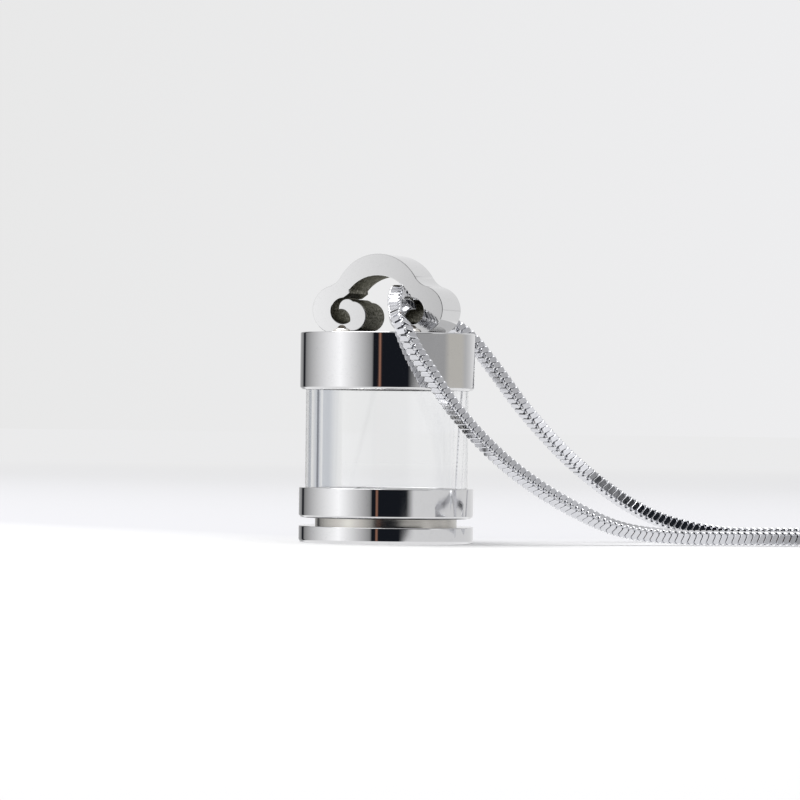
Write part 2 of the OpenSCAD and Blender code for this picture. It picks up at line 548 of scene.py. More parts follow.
def bevel(
    bm: bmesh.types.BMesh, edges: Sequence[bmesh.types.BMEdge], offset: float, segments: int = 1
) -> list[bmesh.types.BMFace]:
    """Bevels or rounds edges.

    Args:
        bm: the mesh.
        edges: its edges to bevel.
        offset: the size of the bevel.
        segments: faces across it.

    Returns:
        The bevel's faces.
    """
    return bmesh.ops.bevel(
        bm, geom=edges, offset=offset, offset_type="OFFSET", affect="EDGES",
        segments=segments, profile=0.5, material=-1, clamp_overlap=True,
    )["faces"]


class Shape:
    """One piece's mesh while it is made with bmesh operators."""

    def __init__(self, bm: bmesh.types.BMesh | None = None) -> None:
        """Starts with the given mesh, or an empty one, and no flat faces."""
        self.bm = bmesh.new() if bm is None else bm
        self.flat: set[bmesh.types.BMFace] = set()

    def turn(
        self, outline: Sequence[tuple[float, float]], steps: int, closed: bool = True
    ) -> None:
        """Turns an outline of (radius, height) points about Z.

        Args:
            outline: the points; a closed one doesn't touch the axis.
            steps: the number of steps in a full turn.
            closed: whether the last point joins the first.
        """
        bm = self.bm
        points = [bm.verts.new((radius, 0.0, height)) for radius, height in outline]
        pairs = list(zip(points, points[1:]))
        if closed:
            pairs.append((points[-1], points[0]))
        edges = [bm.edges.new(pair) for pair in pairs]
        bmesh.ops.spin(
            bm, geom=points + edges, cent=(0, 0, 0), axis=(0, 0, 1), dvec=(0, 0, 0),
            angle=math.tau, steps=steps, use_merge=True,
        )
        bmesh.ops.remove_doubles(bm, verts=bm.verts[:], dist=TOUCH)

    def round_rings(
        self, rings: Iterable[tuple[float, float]], offset: float, segments: int = 3
    ) -> None:
        """Rounds the circular edges at the given radius and height.

        Args:
            rings: (radius, height) of each circle.
            offset: the size of the round.
            segments: faces across it.
        """
        chosen = [
            edge for radius, height in rings for edge in self.bm.edges
            if all(
                abs(vert.co.z - height) < TOUCH
                and abs(vert.co.to_2d().length - radius) < 2 * TOUCH
                for vert in edge.verts
            )
        ]
        bevel(self.bm, chosen, offset, segments)

    def place(self, matrix: Matrix) -> None:
        """Moves the whole mesh."""
        bmesh.ops.transform(self.bm, matrix=matrix, verts=self.bm.verts[:])

    def piece(
        self, name: str, materials: Sequence[bpy.types.Material], sharp: float = 40.0,
        weighted: bool = True,
    ) -> bpy.types.Object:
        """Closes the work and makes the object.

        Args:
            name: the piece's name.
            materials: its materials, in the order of the faces' indices.
            sharp: edges above this angle, in degrees, stay sharp.
            weighted: whether flat faces keep flat shading beside their rounds.

        Returns:
            The new object, at the origin.
        """
        bmesh.ops.recalc_face_normals(self.bm, faces=self.bm.faces[:])
        smooth = [face not in self.flat for face in self.bm.faces]
        mesh = bpy.data.meshes.new(name)
        self.bm.to_mesh(mesh)
        self.bm.free()
        for material in materials:
            mesh.materials.append(material)
        mesh.set_sharp_from_angle(angle=math.radians(sharp))
        mesh.polygons.foreach_set("use_smooth", smooth)
        made = add_object(name, mesh)
        if weighted:
            even = made.modifiers.new("even_normals", "WEIGHTED_NORMAL")
            even.weight = 100
            # The difference in area, in square metres, below which two faces weigh the same
            even.thresh = 1e-9
            even.keep_sharp = True
        return made


def mount(piece: bpy.types.Object, body: str, node: str) -> None:
    """Makes a piece ride on its body in place of a CAD node and logs it.

    Args:
        piece: the finished piece.
        body: the CAD body that it moves with.
        node: the CAD node that it stands for.
    """
    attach(piece, body)
    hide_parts(node)
    log.info("%s rides on %s for %s, %d faces", piece.name, body, node, len(piece.data.polygons))


# Sub-assemblies


@dataclass
class UrnSizes:
    """Radii, levels and small edges that the urn's pieces share."""

    metal_r: float = 8.0 * MM
    recess_r: float = 7.55 * MM
    glass_r: float = 7.45 * MM
    glass_inner_r: float = 6.2 * MM
    bore_r: float = 6.65 * MM
    neck_r: float = 6.5 * MM
    plug_z: float = 1.5 * MM
    collar_z: float = 2.25 * MM
    neck_top_z: float = 4.0 * MM
    ledge_z: float = 4.15 * MM
    glass_z: float = 4.25 * MM
    collar_top_z: float = 5.0 * MM
    cap_z: float = 13.95 * MM
    glass_top_z: float = 17.4 * MM
    recess_top_z: float = 17.5 * MM
    top_z: float = 19.2 * MM
    low_chamfer: float = 0.22 * MM
    chamfer_round: float = 0.04 * MM
    fine_round: float = 0.1 * MM
    steps: int = 128


@dataclass
class Thread:
    """A fine screw thread round Z, as a ridge on a plain wall."""

    pitch: float = 0.5 * MM
    depth: float = 0.28 * MM
    crest: float = 0.12 * MM
    root_share: float = 0.92
    sink: float = 0.03 * MM
    steps_per_turn: int = 64

    def ridge(
        self, shape: Shape, root_r: float, low_z: float, turns: float, outward: bool, finish: int
    ) -> None:
        """Adds the ridge as a closed helix.

        Args:
            shape: the mesh that it goes into.
            root_r: the radius of the wall that it stands on.
            low_z: the height of its lower end.
            turns: the number of turns.
            outward: True on a neck, False in a bore.
            finish: the index of its material.
        """
        bm = shape.bm
        before = set(bm.faces)
        way = 1.0 if outward else -1.0
        half_root = self.pitch * self.root_share / 2
        half_crest = self.crest / 2
        foot_r = root_r - way * self.sink
        crest_r = root_r + way * self.depth
        outline = [
            (foot_r, -half_root), (crest_r, -half_crest), (crest_r, half_crest), (foot_r, half_root)
        ]
        points = [bm.verts.new((radius, 0.0, low_z + height)) for radius, height in outline]
        edges = [bm.edges.new(pair) for pair in zip(points, points[1:] + points[:1])]
        steps = int(turns * self.steps_per_turn)
        spun = bmesh.ops.spin(
            bm, geom=points + edges, cent=(0, 0, 0), axis=(0, 0, 1),
            dvec=(0, 0, self.pitch * turns / steps), angle=math.tau * turns, steps=steps,
        )
        last = [item for item in spun["geom_last"] if isinstance(item, bmesh.types.BMEdge)]
        bmesh.ops.edgeloop_fill(bm, edges=edges)
        bmesh.ops.edgeloop_fill(bm, edges=last)
        for face in set(bm.faces) - before:
            face.material_index = finish


@dataclass
class UrnCap:
    """Polished cup that closes the top of the glass."""

    sizes: UrnSizes
    edge_break: float = 0.12 * MM

    def build(self, finishes: Finishes) -> bpy.types.Object:
        """Turns the cup.

        Args:
            finishes: the pendant's materials.

        Returns:
            The cap.
        """
        s = self.sizes
        chamfer = [(s.metal_r, s.cap_z + s.low_chamfer), (s.metal_r - s.low_chamfer, s.cap_z)]
        inside = [(s.recess_r, s.cap_z), (s.recess_r, s.recess_top_z), (0.0, s.recess_top_z)]
        shape = Shape()
        shape.turn(
            [(0.0, s.top_z), (s.metal_r, s.top_z), *chamfer, *inside], s.steps, closed=False
        )
        shape.round_rings([(s.metal_r, s.top_z)], self.edge_break)
        shape.round_rings(chamfer, s.chamfer_round, 2)
        return shape.piece("urn_cap", [finishes.mirror])


@dataclass
class GlassTube:
    """Clear cylinder between the cap and the collar."""

    sizes: UrnSizes

    def build(self, finishes: Finishes) -> bpy.types.Object:
        """Turns the tube.

        Args:
            finishes: the pendant's materials.

        Returns:
            The tube.
        """
        s = self.sizes
        shape = Shape()
        rings = [
            (s.glass_inner_r, s.glass_z), (s.glass_r, s.glass_z),
            (s.glass_r, s.glass_top_z), (s.glass_inner_r, s.glass_top_z),
        ]
        shape.turn(rings, s.steps)
        shape.round_rings(rings, s.fine_round)
        return shape.piece("glass_cylinder", [finishes.glass])


@dataclass
class Collar:
    """Polished ring under the glass, threaded inside."""

    sizes: UrnSizes
    thread: Thread
    edge_break: float = 0.08 * MM
    mouth: float = 0.3 * MM
    thread_lift: float = 0.28 * MM
    thread_turns: float = 1.3

    def build(self, finishes: Finishes) -> bpy.types.Object:
        """Turns the ring and cuts its thread.

        Args:
            finishes: the pendant's materials.

        Returns:
            The collar.
        """
        s = self.sizes
        low = s.collar_z
        root_r = s.bore_r + self.thread.depth
        mouth_z = low + self.mouth
        throat_z = s.ledge_z - self.mouth
        chamfer = [(s.metal_r - s.low_chamfer, low), (s.metal_r, low + s.low_chamfer)]
        rims = [(s.metal_r, s.collar_top_z), (s.recess_r, s.collar_top_z)]
        bore = [
            (s.recess_r, s.ledge_z), (s.bore_r, s.ledge_z), (s.bore_r, throat_z),
            (root_r, throat_z), (root_r, mouth_z), (s.bore_r, mouth_z),
        ]
        shape = Shape()
        shape.turn([(s.bore_r, low), *chamfer, *rims, *bore], s.steps)
        shape.round_rings(rims, self.edge_break)
        shape.round_rings(chamfer, s.chamfer_round, 2)
        shape.round_rings([(s.bore_r, low)], s.fine_round, 2)
        inner_r = s.recess_r - s.fine_round
        for face in shape.bm.faces:
            middle = face.calc_center_median()
            if middle.to_2d().length < inner_r and middle.z > low + TOUCH:
                face.material_index = 1
        thread_z = mouth_z + self.thread_lift
        self.thread.ridge(shape, root_r, thread_z, self.thread_turns, outward=False, finish=1)
        return shape.piece("threaded_collar", [finishes.mirror, finishes.turned])


@dataclass
class ScrewPlug:
    """Disc that the urn stands on, with the neck that screws into the collar."""

    sizes: UrnSizes
    thread: Thread
    foot_round: float = 0.32 * MM
    edge_break: float = 0.08 * MM
    hold: float = 0.03 * MM
    relief: float = 0.12 * MM
    relief_slope: float = 0.1 * MM
    top_ring: float = 0.9 * MM
    top_slope: float = 0.2 * MM
    top_depth: float = 0.05 * MM
    thread_lift: float = 0.35 * MM
    thread_turns: float = 2.2

    def build(self, finishes: Finishes) -> bpy.types.Object:
        """Turns the disc and its neck and cuts the thread.

        Args:
            finishes: the pendant's materials.

        Returns:
            The plug.
        """
        s = self.sizes
        root_r = s.neck_r - self.thread.depth
        relief_z = s.collar_z + self.relief
        ring_r = root_r - self.top_ring
        dish_z = s.neck_top_z - self.top_depth
        shape = Shape()
        shape.turn(
            [
                (0.0, 0.0),
                (s.metal_r, 0.0),
                (s.metal_r, self.foot_round + self.hold),
                (s.metal_r, s.plug_z - self.edge_break - self.hold),
                (s.metal_r, s.plug_z),
                (s.neck_r, s.plug_z),
                (s.neck_r, relief_z),
                (root_r, relief_z + self.relief_slope),
                (root_r, s.neck_top_z),
                (ring_r, s.neck_top_z),
                (ring_r - self.top_slope, dish_z),
                (0.0, dish_z),
            ],
            s.steps,
            closed=False,
        )
        shape.round_rings([(s.metal_r, 0.0)], self.foot_round, 6)
        shape.round_rings([(s.metal_r, s.plug_z)], self.edge_break)
        shape.round_rings([(root_r, s.neck_top_z)], s.fine_round, 2)
        for face in shape.bm.faces:
            if face.calc_center_median().z > s.plug_z + TOUCH:
                face.material_index = 1
        thread_z = relief_z + self.thread_lift
        self.thread.ridge(shape, root_r, thread_z, self.thread_turns, outward=True, finish=1)
        return shape.piece("screw_plug_turned", [finishes.mirror, finishes.turned])


class OutlinePen:
    """Draws a flat outline of arcs and lines in the XY plane."""

    def __init__(self, start: Vector) -> None:
        """Puts the pen down.

        Args:
            start: the first point.
        """
        self.bm = bmesh.new()
        self.kind = self.bm.edges.layers.int.new("wall_kind")
        self.tip = self.bm.verts.new((start.x, start.y, 0.0))

    def _mark(self, before: set[bmesh.types.BMEdge], wall: Wall) -> None:
        """Notes the finish of the edges that weren't there before."""
        for edge in set(self.bm.edges) - before:
            edge[self.kind] = wall.value

    def line(self, end: Vector, wall: Wall) -> None:
        """Draws a straight line.

        Args:
            end: where it goes.
            wall: the finish of the wall that rises from it.
        """
        before = set(self.bm.edges)
        made = bmesh.ops.extrude_vert_indiv(self.bm, verts=[self.tip])
        self.tip = made["verts"][0]
        self.tip.co = (end.x, end.y, 0.0)
        self._mark(before, wall)

    def arc(
        self, centre: Vector, end: Vector, turn: int, wall: Wall, pace: float = 0.16 * MM
    ) -> None:
        """Draws an arc about a centre.

        Args:
            centre: the arc's centre.
            end: a point in the direction where it stops.
            turn: 1 for counter-clockwise, -1 for clockwise.
            wall: the finish of the wall that rises from it.
            pace: the length of one step.
        """
        here = self.tip.co.to_2d() - centre
        there = end - centre
        swing = math.atan2(there.y, there.x) - math.atan2(here.y, here.x)
        swing = swing % math.tau if turn > 0 else -((-swing) % math.tau)
        steps = max(2, math.ceil(abs(swing) * here.length / pace))
        before = set(self.bm.edges)
        made = bmesh.ops.spin(
            self.bm, geom=[self.tip], cent=(centre.x, centre.y, 0.0), axis=(0, 0, 1),
            dvec=(0, 0, 0), angle=swing, steps=steps,
        )
        self.tip = [item for item in made["geom_last"] if isinstance(item, bmesh.types.BMVert)][0]
        self._mark(before, wall)


def crossing(first: Vector, first_r: float, second: Vector, second_r: float, side: int) -> Vector:
    """Finds where two circles cross.

    Args:
        first: the first circle's centre.
        first_r: its radius.
        second: the second circle's centre.
        second_r: its radius.
        side: 1 for the crossing on the left of the way from first to second, -1 for the right.

    Returns:
        The crossing.
    """
    way = second - first
    gap = way.length
    along = way / gap
    run = (first_r * first_r - second_r * second_r + gap * gap) / (2 * gap)
    rise = math.sqrt(max(0.0, first_r * first_r - run * run))
    return first + along * run + side * rise * Vector((-along.y, along.x))


@dataclass
class CloudBail:
    """Cloud shaped loop on the cap that the chain runs through."""

    sizes: UrnSizes
    width: float = 12.85 * MM
    height: float = 7.2 * MM
    depth: float = 4.6 * MM
    turn: float = -22.0
    offset: float = -0.15 * MM
    sink: float = 0.1 * MM
    arch_r: float = 4.3 * MM
    lobe_r: float = 2.2 * MM
    valley_r: float = 2.0 * MM
    arch_band: float = 1.97 * MM
    lobe_band: float = 1.85 * MM
    opening_r: float = 3.6 * MM
    gap_r: float = 1.2 * MM
    gap_drop: float = 0.12 * MM
    side_in: float = 0.6 * MM
    corner: float = 0.32 * MM
    foot: float = 1.725 * MM
    rim: float = 0.06 * MM
    # Circles of the curl as x, y and radius from the gap's centre, in shares of its radius
    curl_head: tuple[float, float, float] = (-0.76, -0.4, 1.125)
    curl_tip: tuple[float, float, float] = (-0.34, 0.225, 0.685)
    curl_notch: tuple[float, float, float] = (0.18, -0.65, 0.775)

    def _half_outline(self) -> OutlinePen:
        """Draws the right half, from the top of the arch round the lobe to the arch's underside.

        Returns:
            The pen with the outline in its mesh.
        """
        arch_c = Vector((0.0, self.height - self.arch_r))
        lobe_c = Vector((self.width / 2 - self.lobe_r, self.lobe_r - self.sink))
        gap_c = Vector((self.width / 2 - self.lobe_band - self.gap_r, lobe_c.y - self.gap_drop))
        opening_c = Vector((0.0, self.height - self.arch_band - self.opening_r))
        side = gap_c.x - self.side_in
        rise = math.sqrt(self.opening_r**2 - side**2)
        corner_y = max(gap_c.y + self.corner, opening_c.y + rise - self.corner)
        valley_c = crossing(
            arch_c, self.arch_r + self.valley_r, lobe_c, self.lobe_r + self.valley_r, 1
        )
        (head_c, head_r), (tip_c, tip_r), (notch_c, notch_r) = (
            (gap_c + self.gap_r * Vector((x, y)), r * self.gap_r)
            for x, y, r in (self.curl_head, self.curl_tip, self.curl_notch)
        )
        pen = OutlinePen(Vector((0.0, self.height)))
        pen.arc(arch_c, valley_c, -1, Wall.POLISHED)
        pen.arc(valley_c, lobe_c, 1, Wall.POLISHED)
        pen.arc(lobe_c, lobe_c + Vector((0.0, -1.0)), -1, Wall.POLISHED)
        foot_x = lobe_c.x - self.foot
        pen.line(Vector((foot_x, -self.sink)), Wall.POLISHED)
        drop = math.sqrt(head_r**2 - (foot_x - head_c.x) ** 2)
        pen.line(Vector((foot_x, head_c.y - drop)), Wall.SAWN)
        pen.arc(head_c, crossing(head_c, head_r, tip_c, tip_r, 1), -1, Wall.SAWN)
        pen.arc(tip_c, crossing(tip_c, tip_r, notch_c, notch_r, 1), -1, Wall.SAWN)
        pen.arc(notch_c, crossing(gap_c, self.gap_r, notch_c, notch_r, -1), 1, Wall.SAWN)
        pen.arc(gap_c, gap_c + Vector((0.0, 1.0)), 1, Wall.SAWN)
        pen.line(Vector((side, corner_y)), Wall.SAWN)
        pen.line(Vector((side, opening_c.y + rise)), Wall.SAWN)
        pen.arc(opening_c, opening_c + Vector((0.0, 1.0)), 1, Wall.SAWN)
        return pen

    def stand(self) -> Matrix:
        """Gives the place on the cap where the bail is soldered."""
        foot = Matrix.Translation((self.offset, 0, self.sizes.top_z))
        return foot @ Matrix.Rotation(math.radians(self.turn), 4, "Z")

    def build(self, finishes: Finishes) -> bpy.types.Object:
        """Draws, fills, extrudes and bevels the cloud, and turns it into place.

        Args:
            finishes: the pendant's materials.

        Returns:
            The bail.
        """
        pen = self._half_outline()
        bm = pen.bm
        bmesh.ops.mirror(
            bm, geom=bm.verts[:] + bm.edges[:], matrix=Matrix.Identity(4), merge_dist=TOUCH,
            axis="X",
        )
        bmesh.ops.remove_doubles(bm, verts=bm.verts[:], dist=TOUCH)
        bmesh.ops.edgeloop_fill(bm, edges=bm.edges[:])
        rim_below = set(bm.edges)
        raised = bmesh.ops.extrude_face_region(bm, geom=bm.faces[:], use_keep_orig=True)
        top = [item for item in raised["geom"] if isinstance(item, bmesh.types.BMVert)]
        bmesh.ops.translate(bm, verts=top, vec=(0, 0, self.depth))
        for face in bm.faces:
            if len(face.verts) == 4:
                below = [edge for edge in face.edges if edge in rim_below]
                if below:
                    face.material_index = below[0][pen.kind]
        rims = [
            edge for edge in bm.edges if any(len(face.verts) > 4 for face in edge.link_faces)
        ]
        for face in bevel(bm, rims, self.rim, 2):
            face.material_index = Wall.POLISHED.value
        cut = bmesh.ops.triangulate(bm, faces=[face for face in bm.faces if len(face.verts) > 4])
        shape = Shape(bm)
        shape.flat = set(cut["faces"])
        shape.place(Matrix.Translation((0, 0, -self.depth / 2)))
        shape.place(self.stand() @ Matrix.Rotation(math.radians(90), 4, "X"))
        return shape.piece("cloud_bail", [finishes.bail, finishes.sawn], sharp=35.0)


@dataclass
class SolderBeads:
    """Small runs of solder where the bail's feet meet the cap."""

    bail: CloudBail
    length: float = 1.8 * MM
    depth: float = 0.6 * MM
    height: float = 0.48 * MM
    inward: float = 0.75 * MM
    # Size of the dark drop, painted shade under the lobe, in shares of the solder drop
    painted_shade_share: tuple[float, float, float] = (0.62, 0.35, 1.45)

    def build(self, finishes: Finishes) -> bpy.types.Object:
        """Lays a flattened solder drop at the front and the back of each foot, and on it a dark drop
        of painted shade.

        Args:
            finishes: the pendant's materials.

        Returns:
            The solder.
        """
        shape = Shape()
        foot_x = self.bail.width / 2 - self.bail.lobe_r - self.inward
        spots = [(x, y * self.bail.depth / 2) for x in (-foot_x, foot_x) for y in (-1, 1)]
        drop = Matrix.Diagonal((self.length / 2, self.depth, self.height, 1.0))
        for finish, share in enumerate(((1.0, 1.0, 1.0), self.painted_shade_share)):
            before = set(shape.bm.faces)
            for x, y in spots:
                bmesh.ops.create_uvsphere(
                    shape.bm, u_segments=24, v_segments=12, radius=1.0,
                    matrix=Matrix.Translation((x, y, 0.0)) @ drop @ Matrix.Diagonal((*share, 1.0)),
                )
            for face in set(shape.bm.faces) - before:
                face.material_index = finish
        shape.place(self.bail.stand())
        return shape.piece("bail_solder", [finishes.solder, finishes.painted_shade], weighted=False)


@dataclass
class ChainRoute:
    """Middle line of the chain: x, y, z of its chosen points, in millimetres as in the CAD."""

    points: tuple[tuple[float, float, float], ...] = (
        (177, 6.3, 1.5), (177, -3, 1.2), (171, -27, 0.72), (147, -49, 0.72),
        (112, -50, 0.72), (84, -28, 0.72), (60, -6, 0.72), (38, 1.8, 0.72),
        (28, 0.6, 0.72), (21, -1.2, 1.6), (17.4, -2.3, 3.15), (10.3, -4.9, 7.85),
        (7.5, -6.3, 10.6), (5.5, -7.5, 13), (3.8, -8.4, 15.5), (2.4, -8.85, 17.6),
        (1.5, -8.85, 19.3), (1.05, -8.2, 20.1), (0.8, -6.6, 20.75), (0.65, -5, 21.55),
        (0.65, -4, 22.25), (0.85, -2.9, 22.85), (1.1, -1.7, 22.95), (2, 1.8, 22.75),
        (4.5, 4.9, 20.8), (6.4, 5.9, 19.85), (7.7, 6.2, 18.8), (9.2, 6.6, 17.05),
        (12.9, 7.8, 12.25), (18.8, 10.4, 6.4), (26.2, 13.6, 2), (31.5, 15, 0.85),
        (38, 16, 0.72), (60, 24, 0.72), (84, 46, 0.72), (112, 68, 0.72),
        (147, 67, 0.72), (171, 45, 0.72), (177, 21, 1.2), (177, 11.7, 1.5),
    )
    floor: float = 0.72
    # The chain's twist: the number of a chosen point and the roll there, in degrees
    roll_keys: tuple[tuple[float, float], ...] = (
        (0, 0), (5.5, 0), (7, -7), (8.1, -9), (8.8, -18), (9.5, -32), (11, -54), (12, -58),
        (15.5, -60), (16.5, -46), (18, -10), (20, 5), (24, 5), (26, -1), (27.6, -1), (28.2, 6),
        (28.8, 8), (29.1, 16), (30.5, 17), (32.5, 23.2), (39, 23.2),
    )
    line: list[Vector] = field(default_factory=list)
    marks: list[float] = field(default_factory=list)
    lengths: list[float] = field(default_factory=list)

    def trace(self, fine: int = 24) -> None:
        """Fills in the smooth line, the route mark of each of its points and the length up to it.

        Args:
            fine: steps between two chosen points.
        """
        spots = [Vector(point) for point in self.points]
        steps = [(b - a).length for a, b in zip(spots, spots[1:])]
        paces = [(b - a) / d for a, b, d in zip(spots, spots[1:], steps)]
        slopes = [paces[0]]
        for i in range(1, len(paces)):
            both = steps[i - 1] + steps[i]
            slopes.append((paces[i] * steps[i - 1] + paces[i - 1] * steps[i]) / both)
        slopes.append(paces[-1])
        for i, reach in enumerate(steps):
            for k in range(fine):
                t = k / fine
                place = (
                    spots[i] * (2 * t**3 - 3 * t**2 + 1)
                    + slopes[i] * reach * (t**3 - 2 * t**2 + t)
                    + spots[i + 1] * (3 * t**2 - 2 * t**3)
                    + slopes[i + 1] * reach * (t**3 - t**2)
                )
                place.z = max(place.z, self.floor)
                self.line.append(place * MM)
                self.marks.append(i + t)
        self.line.append(spots[-1] * MM)
        self.marks.append(len(steps))
        self.lengths = [0.0]
        for a, b in zip(self.line, self.line[1:]):
            self.lengths.append(self.lengths[-1] + (b - a).length)

    def roll(self, mark: float) -> float:
        """Gives the chain's roll.

        Args:
            mark: a place on the route, counted in chosen points.

        Returns:
            The roll there, in radians.
        """
        for (low, first), (high, second) in zip(self.roll_keys, self.roll_keys[1:]):
            if mark <= high:
                share = (mark - low) / (high - low)
                return math.radians(first + (second - first) * share)
        return math.radians(self.roll_keys[-1][1])

    def stations(self, pitch: float) -> list[Matrix]:
        """Places one frame per link: Z runs along the chain, X and Y square to it.

        Args:
            pitch: the distance between links.

        Returns:
            The frames, carried along so that the chain doesn't twist but for its roll.
        """
        total = self.lengths[-1]
        count = int(total / pitch)
        frames = []
        side = UP.copy()
        k = 0
        for n in range(count + 1):
            reach = (total - count * pitch) / 2 + n * pitch
            while k < len(self.lengths) - 2 and self.lengths[k + 1] < reach:
                k += 1
            span = self.lengths[k + 1] - self.lengths[k]
            share = (reach - self.lengths[k]) / span
            place = self.line[k].lerp(self.line[k + 1], share)
            before = self.line[max(k - 1, 0)]
            after = self.line[min(k + 2, len(self.line) - 1)]
            heading = (after - before).normalized()
            side = (side - heading * side.dot(heading)).normalized()
            mark = self.marks[k] + (self.marks[k + 1] - self.marks[k]) * share
            turned = Quaternion(heading, self.roll(mark)) @ side
            other = heading.cross(turned)
            frames.append(
                Matrix.Translation(place) @ Matrix((turned, other, heading)).transposed().to_4x4()
            )
        return frames


@dataclass
class SnakeChain:
    """Square snake chain: a slanting plate on each side of a link and a bead at each corner."""

    route: ChainRoute
    pitch: float = 0.6 * MM
    half: float = 0.63 * MM
    plate_length: float = 1.0 * MM
    plate_width: float = 0.53 * MM
    plate_thick: float = 0.3 * MM
    plate_corner: float = 0.15 * MM
    plate_round: float = 0.05 * MM
    slant: float = 22.0
    bead_r: float = 0.17 * MM
    bead_reach: float = 0.65 * MM
    core_r: float = 0.48 * MM

    def _around(self, bm: bmesh.types.BMesh) -> bpy.types.Mesh:
        """Repeats a shape on the other three sides of the link.

        Args:
            bm: the shape on one side; it is used up.

        Returns:
            The mesh of one link.
        """
        bmesh.ops.spin(
            bm, geom=bm.verts[:] + bm.edges[:] + bm.faces[:], cent=(0, 0, 0), axis=(0, 0, 1),
            dvec=(0, 0, 0), angle=math.tau * 0.75, steps=3, use_duplicate=True,
        )
        bmesh.ops.recalc_face_normals(bm, faces=bm.faces[:])
        link = bpy.data.meshes.new("one_link")
        bm.to_mesh(link)
        bm.free()
        return link

    def _plates(self) -> bpy.types.Mesh:
        """Makes one link's four plates.

        Returns:
            Their mesh.
        """
        bm = bmesh.new()
        size = (self.plate_thick, self.plate_length, self.plate_width, 1.0)
        bmesh.ops.create_cube(bm, size=1.0, matrix=Matrix.Diagonal(size))
        corners = [
            edge for edge in bm.edges
            if abs(edge.verts[0].co.x - edge.verts[1].co.x) > self.plate_thick / 2
        ]
        bevel(bm, corners, self.plate_corner)
        outer = [
            edge for edge in bm.edges
            if all(vert.co.x > self.plate_thick / 2 - TOUCH for vert in edge.verts)
        ]
        bevel(bm, outer, self.plate_round)
        place = Matrix.Translation((self.half - self.plate_thick / 2, 0, 0)) @ Matrix.Rotation(
            math.radians(-self.slant), 4, "X"
        )
        bmesh.ops.transform(bm, matrix=place, verts=bm.verts[:])
        return self._around(bm)

    def _beads(self) -> bpy.types.Mesh:
        """Makes one link's four corner beads.

        Returns:
            Their mesh.
        """
        bm = bmesh.new()
        reach = self.bead_reach * math.sqrt(0.5)
        bmesh.ops.create_icosphere(
            bm, subdivisions=1, radius=self.bead_r, matrix=Matrix.Translation((reach, reach, 0))
        )
        return self._around(bm)

    def _lay(self, link: bpy.types.Mesh, stations: Sequence[Matrix]) -> Shape:
        """Repeats one link along the route.

        Args:
            link: the link's mesh; it is used up.
            stations: the links' frames.

        Returns:
            The shape with every link.
        """
        shape = Shape()
        for station in stations:
            before = len(shape.bm.verts)
            shape.bm.from_mesh(link)
            shape.bm.verts.ensure_lookup_table()
            bmesh.ops.transform(shape.bm, matrix=station, verts=shape.bm.verts[before:])
        bpy.data.meshes.remove(link)
        return shape

    def build(self, finishes: Finishes) -> list[bpy.types.Object]:
        """Lays the plates, the corner beads and the core, darkened as painted shade, along the route.

        Args:
            finishes: the pendant's materials.

        Returns:
            The three pieces.
        """
        stations = self.route.stations(self.pitch)
        core = Shape()
        inner = self._core(stations)
        core.bm.from_mesh(inner)
        bpy.data.meshes.remove(inner)
        plates = self._lay(self._plates(), stations)
        plates.flat = set(plates.bm.faces)
        beads = self._lay(self._beads(), stations)
        return [
            plates.piece("snake_chain_plates", [finishes.chain], weighted=False),
            beads.piece("snake_chain_beads", [finishes.bead], 90.0, False),
            core.piece("snake_chain_core", [finishes.gap], 80.0, False),
        ]

    def _core(self, stations: Sequence[Matrix]) -> bpy.types.Mesh:
        """Makes the tube inside the links, whose dark finish is painted shade between the plates.

        Args:
            stations: the links' frames.

        Returns:
            The tube's mesh.
        """
        curve = bpy.data.curves.new("core_line", "CURVE")
        curve.dimensions = "3D"
        curve.bevel_depth = self.core_r
        curve.bevel_resolution = 1
        curve.use_fill_caps = True
        line = curve.splines.new("POLY")
        line.points.add(len(stations) - 1)
        for point, station in zip(line.points, stations):
            point.co = (*station.translation, 1.0)
        holder = add_object("core_line", curve)
        bpy.context.view_layer.update()
        mesh = bpy.data.meshes.new_from_object(
            holder.evaluated_get(bpy.context.evaluated_depsgraph_get())
        )
        bpy.data.objects.remove(holder)
        bpy.data.curves.remove(curve)
        return mesh


